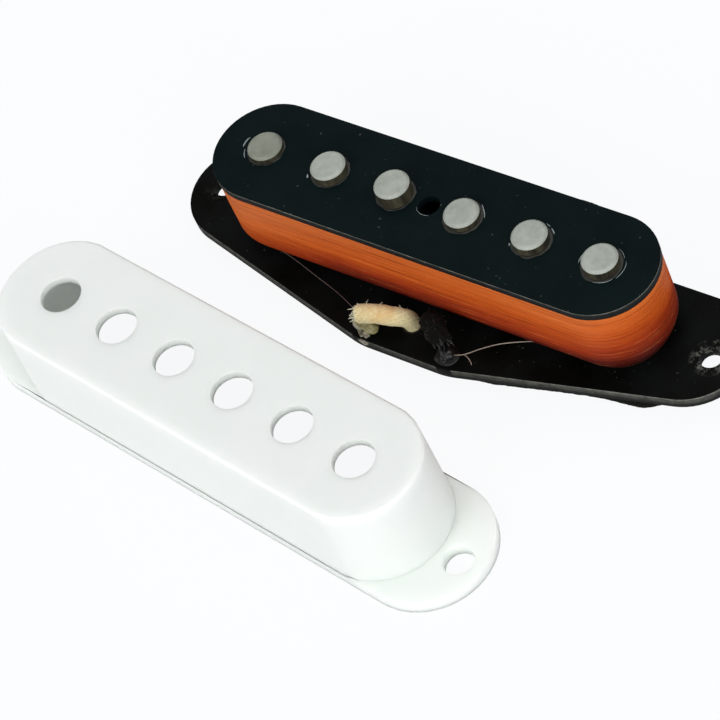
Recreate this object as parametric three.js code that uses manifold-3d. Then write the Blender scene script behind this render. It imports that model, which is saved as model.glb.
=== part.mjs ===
// A single-coil guitar pickup lying on its own leads, with its moulded cover taken off beside it.
// Millimetres, Z up. The pickup's pole row runs along X and the floor is at Z = 0.
// Six rod magnets stand in two fibre plates, a coil of fine wire is wound round them, and the coil's
// two ends go to brass eyelets, where a white and a black cloth-covered lead are soldered.

import * as THREE from 'three';
import { mergeVertices } from 'three/addons/utils/BufferGeometryUtils.js';
import Module from 'manifold-3d';

const wasm = await Module();
wasm.setup();

// Magnets: round rods in a row, pushed through both plates, with staggered heights above the top plate.
const poleCount = 6;
const polePitch = 10.4;
const magnetDiameter = 4.8;
const magnetChamfer = 0.35;
const magnetFit = 0.15;
const tallestRise = 2.35;
const magnetRiseShares = [0.45, 0.66, 1, 0.49, 0.64, 0.66];

// Top plate: a round-ended strip of black fibre.
const topPlateWidth = 15.5;
const topPlateThickness = 1.1;
const poleToTopPlateEnd = 7.3;
const centreHoleDiameter = 2.9;

// Base plate: the same fibre, wider, with a round ear at each end and a bulge for the eyelets in front.
const basePlateThickness = 1.6;
const baseRim = 0.15;
const poleToMountHole = 12.3;
const mountHoleDiameter = 3;
const mountHoleToEarCentre = 3.4;
const earSetback = 0.4;
const bulgeDepth = 6.55;
const bulgeFlatWidth = 13.6;
const bulgeCornerCut = 1.4;

// Coil: a plain body of packed wire with one outer layer of turns drawn large enough to see.
// It draws in towards its foot.
const coilHeight = 12.4;
const coilFootTaper = 1.5;
const coilTaperHeight = 3.2;
const coilBoreGap = 0.2;
const turnDiameter = 0.5;
const turnPitch = 1.0;
const turnCoreGap = 0.3;
const wireDiameter = 0.2;

// Eyelets: brass tubes flared over both faces of the base plate, each under a cone of solder.
const eyeletSpread = 12.5;
const eyeletFromFront = 2.1;
const eyeletFlangeDiameter = 3;
const eyeletFlangeThickness = 0.25;
const eyeletBarrelDiameter = 2;
const eyeletBoreDiameter = 1.3;
const eyeletFit = 0.15;
const solderHeight = 1.2;

// Leads: cloth-covered wire. Each goes down through its hole and lies coiled flat under the pickup.
const leadDiameter = 2.2;
const leadHoleGap = 0.4;
const leadHoleSpread = 3.5;
const leadHolesAside = 0.9;
const leadHoleFromFront = 4.6;
const restGap = 0.4;
const leadCoilRadius = 13.65;
const leadCoilPitch = 2.65;
const tipLength = 5;
const tipDiameter = 1.1;
const tipLeanShare = 0.55;
const meetingGap = 0.3;

// Cover: a thin moulded cup that fits down over the coil, with a flange whose ears take the screws.
const coverFit = 0.2;
const coverEndFit = 0.65;
const coverWall = 0.85;
const coverTopWall = 1.3;
const coverHeadroom = 0.5;
const coverDraft = 0.35;
const coverEdgeCut = 0.3;
const poleHoleDiameter = 5.6;
const flangeThickness = 1.8;
const earHoleDiameter = 4.2;
const earHoleMargin = 1.5;

// Where the cover lies, measured from the middle of the pickup, and how far it is turned.
const coverOffsetX = -15.4;
const coverOffsetY = -31.93;
const coverTurnDegrees = -7.15;

// How finely round things are cut, and how far a cutter runs past the face it cuts.
const roundSides = 28;
const arcSteps = 14;
const tubeSides = 8;
const runSteps = 56;
const wireSteps = 10;
const tipSteps = 4;
const loopSteps = 24;
const cutOverrun = 1;

// Worked out from the sizes above.
const poleRowReach = (poleCount - 1) * polePitch / 2;
const topPlateEnd = poleRowReach + poleToTopPlateEnd;
const plateRadius = topPlateWidth / 2;
const plateReach = topPlateEnd - plateRadius;
const baseBottom = leadDiameter + restGap;
const baseTop = baseBottom + basePlateThickness;
const topPlateBottom = baseTop + coilHeight;
const topPlateTop = topPlateBottom + topPlateThickness;
const mountHoleReach = poleRowReach + poleToMountHole;
const earRadius = plateRadius + baseRim;
const earReach = mountHoleReach - mountHoleToEarCentre;
const frontReach = plateRadius + bulgeDepth;
const eyeletY = eyeletFromFront - frontReach;
const leadHoleY = leadHoleFromFront - frontReach;
const leadHoleDiameter = leadDiameter + 2 * leadHoleGap;

const group = new THREE.Group();
const pickup = new THREE.Group();
const cover = new THREE.Group();
const cords = new THREE.Group();

const fibre = { color: 0x15171a, roughness: 0.55, metalness: 0 };
const magnetMetal = { color: 0xa2a3a0, roughness: 0.5, metalness: 0.7 };
const copperWire = { color: 0xc4581c, roughness: 0.4, metalness: 0.2 };
const brass = { color: 0xb8954f, roughness: 0.35, metalness: 1 };
const solder = { color: 0xb9b6a8, roughness: 0.4, metalness: 0.6 };
const whiteCloth = { color: 0xddc592, roughness: 0.95, metalness: 0 };
const blackCloth = { color: 0x1b1b1d, roughness: 0.9, metalness: 0 };
const tinnedWire = { color: 0xb4b2aa, roughness: 0.35, metalness: 0.8 };
const coverPlastic = { color: 0xe9ece7, roughness: 0.35, metalness: 0 };

// One named mesh with its own material.
function addPart(parent, name, geometry, finish) {
  const mesh = new THREE.Mesh(geometry, new THREE.MeshStandardMaterial(finish));
  mesh.name = name;
  parent.add(mesh);
  return mesh;
}

// A strip with round ends, drawn counter-clockwise about the middle.
function roundEndedShape(reach, radius) {
  const shape = new THREE.Shape();
  shape.absarc(reach, 0, radius, -Math.PI / 2, Math.PI / 2, false);
  shape.absarc(-reach, 0, radius, Math.PI / 2, 3 * Math.PI / 2, false);
  shape.closePath();
  return shape;
}

function roundHole(x, y, diameter) {
  const hole = new THREE.Path();
  hole.absarc(x, y, diameter / 2, 0, 2 * Math.PI, true);
  return hole;
}

function poleX(index) {
  return index * polePitch - poleRowReach;
}

function poleHoles(diameter) {
  return Array.from({ length: poleCount }, (_, index) => roundHole(poleX(index), 0, diameter));
}

// A flat plate of the given outline, standing on the given height.
function slab(shape, thickness, bottom) {
  const geometry = new THREE.ExtrudeGeometry(shape, {
    depth: thickness,
    bevelEnabled: false,
    curveSegments: arcSteps,
  });
  return geometry.translate(0, 0, bottom);
}

// A turned piece standing on Z, from points of radius and height.
function turned(profile, sides = roundSides) {
  const points = profile.map(([radius, height]) => new THREE.Vector2(radius, height));
  const geometry = new THREE.LatheGeometry(points, sides);
  return geometry.rotateX(Math.PI / 2);
}

// A turned piece whose two halves are drawn apart along X, so that it gets straight sides.
function drawnApart(profile, reach) {
  const halfStep = Math.PI / roundSides;
  const widened = profile.map(([radius, height]) => [radius / Math.cos(halfStep), height]);
  const geometry = turned(widened).rotateZ(halfStep);
  const position = geometry.attributes.position;
  const onAxis = reach * Number.EPSILON;
  for (let i = 0; i < position.count; i += 1) {
    const x = position.getX(i);
    const side = Math.hypot(x, position.getY(i)) > onAxis ? Math.sign(x) : 0;
    position.setX(i, x + side * reach);
  }
  return geometry;
}

function toSolid(geometry) {
  const bare = geometry.clone();
  bare.deleteAttribute('normal');
  bare.deleteAttribute('uv');
  const merged = mergeVertices(bare);
  return new wasm.Manifold(new wasm.Mesh({
    numProp: 3,
    vertProperties: new Float32Array(merged.attributes.position.array),
    triVerts: new Uint32Array(merged.index.array),
  }));
}

function toGeometry(solid) {
  const mesh = solid.getMesh();
  const geometry = new THREE.BufferGeometry();
  geometry.setAttribute('position', new THREE.BufferAttribute(mesh.vertProperties, 3));
  geometry.setIndex(new THREE.BufferAttribute(mesh.triVerts, 1));
  geometry.computeVertexNormals();
  return geometry;
}

// A wound tube through the points. Its section has a flat top and a flat foot, as wide as it is high.
const flatShare = 0.58;
const sectionShares = [
  [1, 0],
  [flatShare, 1],
  [-flatShare, 1],
  [-1, 0],
  [-flatShare, -1],
  [flatShare, -1],
];

function woundTube(points, diameter) {
  const up = new THREE.Vector3(0, 0, 1);
  const sides = sectionShares.length;
  const last = points.length - 1;
  const places = [];
  const faces = [];
  points.forEach((point, i) => {
    const before = point.clone().sub(points[Math.max(i - 1, 0)]).normalize();
    const after = points[Math.min(i + 1, last)].clone().sub(point).normalize();
    const along = before.add(after).normalize();
    const aside = along.cross(up).normalize();
    for (const [sideShare, upShare] of sectionShares) {
      const corner = point.clone();
      corner.addScaledVector(aside, sideShare * diameter / 2);
      corner.addScaledVector(up, upShare * diameter / 2);
      places.push(corner.x, corner.y, corner.z);
    }
  });
  for (let i = 0; i < last; i += 1) {
    for (let j = 0; j < sides; j += 1) {
      const here = i * sides + j;
      const beside = i * sides + (j + 1) % sides;
      faces.push(here, here + sides, beside + sides, here, beside + sides, beside);
    }
  }
  for (let j = 1; j < sides - 1; j += 1) {
    const end = last * sides;
    faces.push(0, j, j + 1, end, end + j + 1, end + j);
  }
  const geometry = new THREE.BufferGeometry();
  geometry.setAttribute('position', new THREE.Float32BufferAttribute(places, 3));
  geometry.setIndex(faces);
  geometry.computeVertexNormals();
  return geometry;
}

// The least gap between stretches of one wound tube that are at least half a loop apart.
function printLeastGap(name, points, diameter, pointsPerLoop) {
  let least = Infinity;
  points.forEach((point, i) => {
    for (let j = i + Math.round(pointsPerLoop / 2); j < points.length - 1; j += 1) {
      const stretch = new THREE.Line3(points[j], points[j + 1]);
      const nearest = stretch.closestPointToPoint(point, true, new THREE.Vector3());
      least = Math.min(least, nearest.distanceTo(point) - diameter);
    }
  });
  console.log(`${name}: least gap to itself ${least.toFixed(2)} mm`);
}

// A round tube along a curve, with a closed face at each end.
function tubeAlong(points, diameter, steps) {
  const curve = new THREE.CatmullRomCurve3(points, false, 'centripetal');
  const section = new THREE.Shape();
  for (let i = 0; i < tubeSides; i += 1) {
    const angle = (i + 0.5) * 2 * Math.PI / tubeSides;
    const x = Math.cos(angle) * diameter / 2;
    const y = Math.sin(angle) * diameter / 2;
    if (i === 0) section.moveTo(x, y);
    else section.lineTo(x, y);
  }
  section.closePath();
  return new THREE.ExtrudeGeometry(section, { steps, bevelEnabled: false, extrudePath: curve });
}

// Top plate, with a hole for each magnet and a small one in the middle.
function makeTopPlate() {
  const shape = roundEndedShape(plateReach, plateRadius);
  shape.holes.push(...poleHoles(magnetDiameter + 2 * magnetFit));
  shape.holes.push(roundHole(0, 0, centreHoleDiameter));
  addPart(pickup, 'top_plate', slab(shape, topPlateThickness, topPlateBottom), fibre);
}

// Base plate: two round ears joined by a straight rear edge and, in front, by slopes up to a flat bulge.
function basePlateShape() {
  const cornerX = bulgeFlatWidth / 2;
  const toEar = new THREE.Vector2(earReach - cornerX, earSetback + frontReach);
  const slope = toEar.angle() - Math.asin(earRadius / toEar.length());
  const cutX = bulgeCornerCut * Math.cos(slope);
  const cutY = bulgeCornerCut * Math.sin(slope);
  const shape = new THREE.Shape();
  shape.moveTo(-cornerX + bulgeCornerCut, -frontReach);
  shape.lineTo(cornerX - bulgeCornerCut, -frontReach);
  shape.quadraticCurveTo(cornerX, -frontReach, cornerX + cutX, -frontReach + cutY);
  shape.absarc(earReach, earSetback, earRadius, slope - Math.PI / 2, Math.PI / 2, false);
  shape.absarc(-earReach, earSetback, earRadius, Math.PI / 2, 3 * Math.PI / 2 - slope, false);
  shape.lineTo(-cornerX - cutX, -frontReach + cutY);
  shape.quadraticCurveTo(-cornerX, -frontReach, -cornerX + bulgeCornerCut, -frontReach);
  return shape;
}

function makeBasePlate() {
  const shape = basePlateShape();
  shape.holes.push(...poleHoles(magnetDiameter + 2 * magnetFit));
  for (const side of [-1, 1]) {
    shape.holes.push(roundHole(side * mountHoleReach, 0, mountHoleDiameter));
    shape.holes.push(roundHole(side * eyeletSpread / 2, eyeletY, eyeletBarrelDiameter + 2 * eyeletFit));
    shape.holes.push(roundHole(leadHolesAside + side * leadHoleSpread / 2, leadHoleY, leadHoleDiameter));
  }
  addPart(pickup, 'base_plate', slab(shape, basePlateThickness, baseBottom), fibre);
}

// Magnets, flush with the underside of the base plate.
function makeMagnets() {
  const radius = magnetDiameter / 2;
  magnetRiseShares.slice(0, poleCount).forEach((riseShare, index) => {
    const length = topPlateTop + riseShare * tallestRise - baseBottom;
    const rod = turned([
      [0, 0],
      [radius - magnetChamfer, 0],
      [radius, magnetChamfer],
      [radius, length - magnetChamfer],
      [radius - magnetChamfer, length],
      [0, length],
    ]);
    const mesh = addPart(pickup, `magnet_${index + 1}`, rod, magnetMetal);
    mesh.position.set(poleX(index), 0, baseBottom);
  });
}

// The point at a distance round the coil, from the middle of its front side towards +X.
function pointRoundCoil(distance, reach, radius, height) {
  const quarter = reach;
  const end = Math.PI * radius;
  if (distance < quarter) return new THREE.Vector3(distance, -radius, height);
  if (distance <= quarter + end) {
    const angle = (distance - quarter) / radius - Math.PI / 2;
    return new THREE.Vector3(reach + radius * Math.cos(angle), radius * Math.sin(angle), height);
  }
  if (distance < 3 * quarter + end) {
    return new THREE.Vector3(2 * quarter + end - distance, radius, height);
  }
  if (distance <= 3 * quarter + 2 * end) {
    const angle = (distance - 3 * quarter - end) / radius + Math.PI / 2;
    return new THREE.Vector3(radius * Math.cos(angle) - reach, radius * Math.sin(angle), height);
  }
  return new THREE.Vector3(distance - 4 * quarter - 2 * end, -radius, height);
}

// How far the coil's side is drawn in at a height.
function coilDrawnIn(height) {
  return coilFootTaper * Math.max(0, 1 - (height - baseTop) / coilTaperHeight);
}

// Coil: the packed body, and the outer layer as one unbroken wound tube.
function makeCoil() {
  const coreRadius = plateRadius - turnDiameter - turnCoreGap;
  const body = toSolid(drawnApart([
    [0, baseTop],
    [coreRadius - coilFootTaper, baseTop],
    [coreRadius, baseTop + coilTaperHeight],
    [coreRadius, topPlateBottom],
    [0, topPlateBottom],
  ], plateReach));
  const boreShape = roundEndedShape(poleRowReach, magnetDiameter / 2 + coilBoreGap);
  const bore = toSolid(slab(boreShape, coilHeight + 2 * cutOverrun, baseTop - cutOverrun));
  addPart(pickup, 'coil_core', toGeometry(body.subtract(bore)), copperWire);

  const radius = plateRadius - turnDiameter / 2;
  const end = Math.PI * radius;
  const around = 4 * plateReach + 2 * end;
  const turns = Math.floor((coilHeight - turnDiameter - 2 * turnCoreGap) / turnPitch);
  const margin = (coilHeight - turns * turnPitch) / 2;
  const arcStops = loopSteps / 2 - 1;
  const places = [0];
  for (let turn = 0; turn < turns; turn += 1) {
    for (let i = 0; i <= arcStops; i += 1) places.push(turn * around + plateReach + i / arcStops * end);
    for (let i = 0; i <= arcStops; i += 1) {
      places.push(turn * around + 3 * plateReach + end + i / arcStops * end);
    }
  }
  places.push(turns * around);
  const points = places.map((distance) => {
    const height = baseTop + margin + distance / around * turnPitch;
    const lap = Math.min(Math.floor(distance / around), turns - 1);
    const point = pointRoundCoil(distance - lap * around, plateReach, radius, height);
    const middleX = THREE.MathUtils.clamp(point.x, -plateReach, plateReach);
    const share = coilDrawnIn(height) / radius;
    point.x -= (point.x - middleX) * share;
    point.y -= point.y * share;
    return point;
  });
  printLeastGap('coil_outer_turns', points, turnDiameter, loopSteps);
  addPart(pickup, 'coil_outer_turns', woundTube(points, turnDiameter), copperWire);
}

// Eyelets and their solder. The profile runs once round the wall of the tube.
function makeEyelets() {
  const flange = eyeletFlangeDiameter / 2;
  const barrel = eyeletBarrelDiameter / 2;
  const bore = eyeletBoreDiameter / 2;
  const high = baseTop + eyeletFlangeThickness;
  const low = baseBottom - eyeletFlangeThickness;
  for (const [side, word] of [[-1, 'left'], [1, 'right']]) {
    const eyelet = turned([
      [bore, low],
      [flange, low],
      [flange, baseBottom],
      [barrel, baseBottom],
      [barrel, baseTop],
      [flange, baseTop],
      [flange, high],
      [bore, high],
      [bore, low],
    ], tubeSides * 2);
    const cone = turned([
      [0, 0],
      [flange, 0],
      [barrel, solderHeight / 3],
      [bore, solderHeight],
      [0, solderHeight],
    ], tubeSides * 2);
    addPart(pickup, `eyelet_${word}`, eyelet, brass).position.set(side * eyeletSpread / 2, eyeletY, 0);
    addPart(pickup, `solder_${word}`, cone, solder).position.set(side * eyeletSpread / 2, eyeletY, high);
  }
}

// The coil's own two ends, from its foot to the solder.
function makeCoilWires() {
  const low = baseTop + eyeletFlangeThickness + wireDiameter;
  const foot = coilDrawnIn(low) - plateRadius - meetingGap;
  const bySolder = eyeletSpread / 2 + eyeletFlangeDiameter / 2 + meetingGap;
  const startWire = [
    new THREE.Vector3(-poleX(poleCount - 2), foot, low),
    new THREE.Vector3(-(poleX(poleCount - 2) + bySolder) / 2, (foot + eyeletY) / 2, low + wireDiameter),
    new THREE.Vector3(-bySolder, eyeletY, low + wireDiameter),
  ];
  const finishWire = [
    new THREE.Vector3(poleX(poleCount - 2) - polePitch / 2, foot, low + wireDiameter),
    new THREE.Vector3(bySolder + wireDiameter, (foot + eyeletY) / 2, low + 2 * wireDiameter),
    new THREE.Vector3(bySolder, eyeletY, low),
  ];
  addPart(pickup, 'coil_start_wire', tubeAlong(startWire, wireDiameter, wireSteps), copperWire);
  addPart(pickup, 'coil_finish_wire', tubeAlong(finishWire, wireDiameter, wireSteps), copperWire);
}

// Leads: where each is coiled, and the hand-chosen points of its run from its eyelet to its coil.
const whiteLead = {
  name: 'white_lead',
  finish: whiteCloth,
  coilX: -18.5,
  coilY: 3.8,
  startDegrees: -62,
  way: -1,
  turns: 2.25,
  route: [
    [-7.7, -12.7, 6.7],
    [-6.0, -12.3, 7.35],
    [-4.0, -11.8, 7.6],
    [-2.3, -11.2, 7.2],
    [-1.25, -10.4, 6.3],
    [-0.87, -9.8, 5.1],
    [-0.85, -9.7, 3.5],
    [-1.05, -9.4, 1.95],
    [-2.3, -8.3, 1.2],
    [-4.6, -7.3, 1.15],
    [-8.7, -6.9, 1.15],
  ],
};
const blackLead = {
  name: 'black_lead',
  finish: blackCloth,
  coilX: 8.8,
  coilY: 2.9,
  startDegrees: 20,
  way: 1,
  turns: 2,
  route: [
    [7.3, -13.1, 6.8],
    [6.7, -12.4, 7.6],
    [5.4, -11.5, 8.2],
    [4.1, -10.6, 8.0],
    [3.1, -9.95, 7.0],
    [2.7, -9.72, 5.4],
    [2.65, -9.7, 3.5],
    [2.85, -10.0, 1.95],
    [4.3, -11.0, 1.2],
    [6.4, -11.4, 1.15],
    [8.8, -11.45, 1.15],
    [11.5, -11.15, 1.15],
    [14.3, -10.5, 1.15],
    [17.5, -9.7, 1.15],
    [22, -8.6, 1.15],
    [26, -7.75, 1.15],
    [29.5, -7.35, 1.15],
    [32.2, -6.8, 1.15],
    [34.3, -5.0, 1.15],
    [35, -2.4, 1.15],
    [34.1, 0.2, 1.15],
    [32, 2.2, 1.15],
    [29, 3.2, 1.15],
    [26, 3.9, 1.15],
    [23.5, 5.2, 1.12],
  ],
};

// A flat spiral on the floor that winds inwards.
function leadCoilPoint(lead, turn) {
  const angle = THREE.MathUtils.degToRad(lead.startDegrees) + lead.way * turn * 2 * Math.PI;
  const radius = leadCoilRadius - turn * leadCoilPitch;
  const x = lead.coilX + radius * Math.cos(angle);
  const y = lead.coilY + radius * Math.sin(angle);
  return new THREE.Vector3(x, y, leadDiameter / 2);
}

function makeLead(lead) {
  const coil = [];
  const steps = Math.round(lead.turns * loopSteps);
  for (let i = 0; i <= steps; i += 1) coil.push(leadCoilPoint(lead, i / loopSteps));
  printLeastGap(`${lead.name}_coil`, coil, leadDiameter, loopSteps);
  const outward = coil[0].clone().sub(coil[1]).normalize();
  const inward = coil[steps].clone().sub(coil[steps - 1]).normalize();
  const meeting = coil[0].clone().addScaledVector(outward, meetingGap);
  const run = lead.route.map(([x, y, z]) => new THREE.Vector3(x, y, z));
  run.push(meeting);
  const tipStart = coil[steps].clone().addScaledVector(inward, meetingGap);
  const centre = new THREE.Vector3(lead.coilX, lead.coilY, leadDiameter / 2);
  const lean = centre.sub(tipStart).normalize().multiplyScalar(tipLeanShare * tipLength);
  const tip = [
    tipStart,
    tipStart.clone().addScaledVector(inward, tipLength / 2),
    tipStart.clone().addScaledVector(inward, tipLength).add(lean),
  ];
  addPart(cords, `${lead.name}_run`, tubeAlong(run, leadDiameter, runSteps), lead.finish);
  addPart(cords, `${lead.name}_coil`, woundTube(coil, leadDiameter), lead.finish);
  addPart(cords, `${lead.name}_tip`, tubeAlong(tip, tipDiameter, tipSteps), tinnedWire);
}

// Cover: its inside is the coil and top plate plus a clearance, and its wall stands outside that.
// The flange is as wide as the cup and rounds off just past the screw holes.
function flangeShape(radius) {
  const reach = mountHoleReach + earHoleDiameter / 2 + earHoleMargin - radius;
  const shape = new THREE.Shape();
  shape.absarc(reach, 0, radius, -Math.PI / 2, Math.PI / 2, false);
  shape.absarc(-reach, 0, radius, Math.PI / 2, 3 * Math.PI / 2, false);
  return shape;
}

function makeCover() {
  const reach = topPlateEnd + coverEndFit - plateRadius - coverFit;
  const innerTop = plateRadius + coverFit;
  const innerFoot = innerTop + coverDraft;
  const outerTop = innerTop + coverWall;
  const outerFoot = innerFoot + coverWall;
  const insideHeight = coilHeight + topPlateThickness + coverHeadroom;
  const height = insideHeight + coverTopWall;
  const draftPerHeight = coverDraft / insideHeight;

  const body = toSolid(drawnApart([
    [0, 0],
    [outerFoot, 0],
    [outerTop, height - coverEdgeCut],
    [outerTop - coverEdgeCut, height],
    [0, height],
  ], reach));
  const hollow = toSolid(drawnApart([
    [0, -cutOverrun],
    [innerFoot + cutOverrun * draftPerHeight, -cutOverrun],
    [innerTop, insideHeight],
    [0, insideHeight],
  ], reach));
  const flange = toSolid(slab(flangeShape(outerFoot), flangeThickness, 0));
  let shell = body.add(flange).subtract(hollow);
  const poleCutter = new THREE.CylinderGeometry(
    poleHoleDiameter / 2,
    poleHoleDiameter / 2,
    coverTopWall + 2 * cutOverrun,
    roundSides,
  ).rotateX(Math.PI / 2);
  for (let i = 0; i < poleCount; i += 1) {
    const place = poleCutter.clone().translate(poleX(i), 0, height - coverTopWall / 2);
    shell = shell.subtract(toSolid(place));
  }
  const earCutter = new THREE.CylinderGeometry(
    earHoleDiameter / 2,
    earHoleDiameter / 2,
    flangeThickness + 2 * cutOverrun,
    roundSides,
  ).rotateX(Math.PI / 2);
  for (const side of [-1, 1]) {
    const place = earCutter.clone().translate(side * mountHoleReach, 0, flangeThickness / 2);
    shell = shell.subtract(toSolid(place));
  }
  addPart(cover, 'cover', toGeometry(shell), coverPlastic);
  cover.position.set(coverOffsetX, coverOffsetY, 0);
  cover.rotation.z = THREE.MathUtils.degToRad(coverTurnDegrees);
}

makeTopPlate();
makeBasePlate();
makeMagnets();
makeCoil();
makeEyelets();
makeCoilWires();
makeLead(whiteLead);
makeLead(blackLead);
makeCover();

// The origin is on the floor under the middle of the pickup and the cover together.
group.add(pickup, cover);
group.updateMatrixWorld(true);
const middle = new THREE.Box3().setFromObject(group, true).getCenter(new THREE.Vector3());
group.add(cords);
for (const part of [pickup, cover, cords]) {
  part.position.x -= middle.x;
  part.position.y -= middle.y;
}

export default group;
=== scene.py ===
# %% [markdown]
# # A single-coil guitar pickup beside its cover
#
# A pickup is a row of magnets inside a coil of very fine copper wire. The magnets stand in two black
# fibre plates, the wire's two ends are soldered to small brass eyelets, and two cloth-covered leads
# carry the signal away. A moulded plastic cover slips down over the coil.
#
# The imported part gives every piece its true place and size. This script dresses it: soft edges, wound
# wire, woven cloth, solder and wax, each with a material that is made from nodes.

import math
import random

import bmesh
import bpy
from mathutils import Matrix, Vector, noise
from mathutils.geometry import interpolate_bezier


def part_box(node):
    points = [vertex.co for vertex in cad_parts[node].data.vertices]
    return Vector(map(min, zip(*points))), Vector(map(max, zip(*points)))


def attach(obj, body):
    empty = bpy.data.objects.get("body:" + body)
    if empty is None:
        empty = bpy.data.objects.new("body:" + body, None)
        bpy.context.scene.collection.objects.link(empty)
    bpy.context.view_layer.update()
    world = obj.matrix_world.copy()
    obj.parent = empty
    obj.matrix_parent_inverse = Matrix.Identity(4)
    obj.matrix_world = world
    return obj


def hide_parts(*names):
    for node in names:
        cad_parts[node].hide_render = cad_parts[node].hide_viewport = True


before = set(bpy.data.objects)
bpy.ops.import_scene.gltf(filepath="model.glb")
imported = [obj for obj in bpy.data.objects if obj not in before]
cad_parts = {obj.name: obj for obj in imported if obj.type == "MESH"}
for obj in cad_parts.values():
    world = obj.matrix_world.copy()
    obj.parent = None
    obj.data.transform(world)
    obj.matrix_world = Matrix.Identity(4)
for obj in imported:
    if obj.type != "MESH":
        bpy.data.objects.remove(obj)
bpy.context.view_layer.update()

# %% [markdown]
# ## Sizes
#
# Blender works in metres and pickup makers in millimetres, so sizes are written in millimetres here
# and turned into metres where a point is made. The pickup's own middle is a handy zero: magnets,
# eyelets and leads all have simple places measured from it.

# %% Sizes of the real pickup, in millimetres
mm = 0.001
row_start, row_end = Vector(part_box("magnet_1")[0]), Vector(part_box("magnet_6")[1])
pickup_middle = (row_start + row_end) / 2 / mm * Vector((1, 1, 0))
pole_count = 6
pole_pitch = 10.4
magnet_radius = 2.4
plate_reach = 25.55
plate_radius = 7.75
base_bottom = 2.6
base_top = 4.2
top_plate_bottom = 16.6
top_plate_top = 17.7
screw_hole_reach = 38.3
lead_diameter = 2.2
lead_coil_radius = 13.65
lead_coil_pitch = 2.65


def at(x, y, z):
    """A point in metres, from millimetres measured from the pickup's middle."""
    return (Vector((x, y, z)) + pickup_middle) * mm


def pole_x(number):
    """How far along the row a magnet stands."""
    return (number - (pole_count + 1) / 2) * pole_pitch


def placed(name, data):
    """An object in the scene that shows that data."""
    made = bpy.data.objects.new(name, data)
    bpy.context.scene.collection.objects.link(made)
    return made


print("pickup middle", tuple(round(value, 4) for value in at(0, 0, 0)))

# %% [markdown]
# ## Camera
#
# The photograph was taken from well away with a long lens, looking down at about fifty degrees, and
# the camera was a little rolled. The place and the roll come from matching the magnets and the plates'
# edges. A long lens keeps far and near magnets almost the same size.

# %% Camera at the photograph's angle
focal_pixels = 3600
photo_pixels = 720
camera_place = at(233.5915, -187.208, 358.397)
camera_target = at(-1.8825, -18.93, 8)
camera_roll = math.radians(26.64)

camera_data = bpy.data.cameras.new("camera")
camera_data.sensor_width = 36
camera_data.lens = camera_data.sensor_width * focal_pixels / photo_pixels
camera = placed("camera", camera_data)
camera.location = camera_place
looking = (camera_target - camera_place).to_track_quat("-Z", "Y").to_matrix()
camera.rotation_euler = (looking @ Matrix.Rotation(-camera_roll, 3, "Z")).to_euler()
camera_data.clip_start = 0.01
camera_data.clip_end = 10
bpy.context.scene.camera = camera
print("lens", camera_data.lens, "distance", round((camera_target - camera_place).length, 3))

# %% [markdown]
# ## Small helpers for materials
#
# A node material is a small machine: coordinates go in, patterns come out, and the shader turns them
# into colour, gloss and relief. One helper adds a node and plugs in its inputs, so that each material
# below reads as a short list of steps.


# %% Material helpers
def shade(red, green, blue):
    """A Blender colour from the 0 to 255 numbers that a colour picker shows."""
    parts = [part / 255 for part in (red, green, blue)]
    return (*[((part + 0.055) / 1.055) ** 2.4 if part > 0.04 else part / 12.92 for part in parts], 1)


def add_node(tree, kind, inputs=None, **settings):
    """A node of that kind, with settings made and inputs linked or filled in."""
    made = tree.nodes.new(kind)
    for name, value in settings.items():
        setattr(made, name, value)
    for key, value in (inputs or {}).items():
        if isinstance(value, bpy.types.NodeSocket):
            tree.links.new(value, made.inputs[key])
        else:
            made.inputs[key].default_value = value
    return made


def new_material(name, roughness, metallic=0.0, **fixed):
    """A material with its tree and its shader. Fixed values are set on the shader's own sockets."""
    material = bpy.data.materials.new(name)
    material.use_nodes = True
    tree = material.node_tree
    shader = tree.nodes["Principled BSDF"]
    shader.inputs["Roughness"].default_value = roughness
    shader.inputs["Metallic"].default_value = metallic
    for key, value in fixed.items():
        shader.inputs[key.replace("_", " ")].default_value = value
    return material, tree, shader


def object_place(tree):
    """The point on the object, in metres."""
    return add_node(tree, "ShaderNodeTexCoord").outputs["Object"]


def object_parts(tree):
    """That point's X, Y and Z."""
    return add_node(tree, "ShaderNodeSeparateXYZ", {"Vector": object_place(tree)}).outputs


def stretched_place(tree, scale=(1, 1, 1)):
    """The point stretched, to make a pattern fine one way and long another."""
    inputs = {"Vector": object_place(tree), "Scale": scale}
    return add_node(tree, "ShaderNodeMapping", inputs).outputs["Vector"]


def noise_of(tree, place, scale, detail=4.0, roughness=0.6):
    """Soft random blotches, from 0 to 1."""
    inputs = {"Vector": place, "Scale": scale, "Detail": detail, "Roughness": roughness}
    return add_node(tree, "ShaderNodeTexNoise", inputs).outputs["Fac"]


def ramp_of(tree, value, stops):
    """Colours along a value, from a list of (place, colour)."""
    made = add_node(tree, "ShaderNodeValToRGB", {"Fac": value})
    elements = made.color_ramp.elements
    elements[0].position, elements[0].color = stops[0]
    elements[1].position, elements[1].color = stops[-1]
    for place, colour in stops[1:-1]:
        elements.new(place).color = colour
    return made.outputs["Color"]


def between(tree, value, low, high):
    """A value that goes from 0 at low to 1 at high, and stays there outside."""
    inputs = {"Value": value, "From Min": low, "From Max": high}
    return add_node(tree, "ShaderNodeMapRange", inputs).outputs[0]


def calculate(tree, operation, first, second=0.0, third=0.0):
    """One sum on values or sockets."""
    return add_node(tree, "ShaderNodeMath", {0: first, 1: second, 2: third}, operation=operation).outputs[0]


def mix_colours(tree, share, first, second, blend_type="MIX"):
    """Two colours mixed by a share from 0 to 1."""
    inputs = {0: share, 6: first, 7: second}
    return add_node(tree, "ShaderNodeMix", inputs, data_type="RGBA", blend_type=blend_type).outputs[2]


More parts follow.
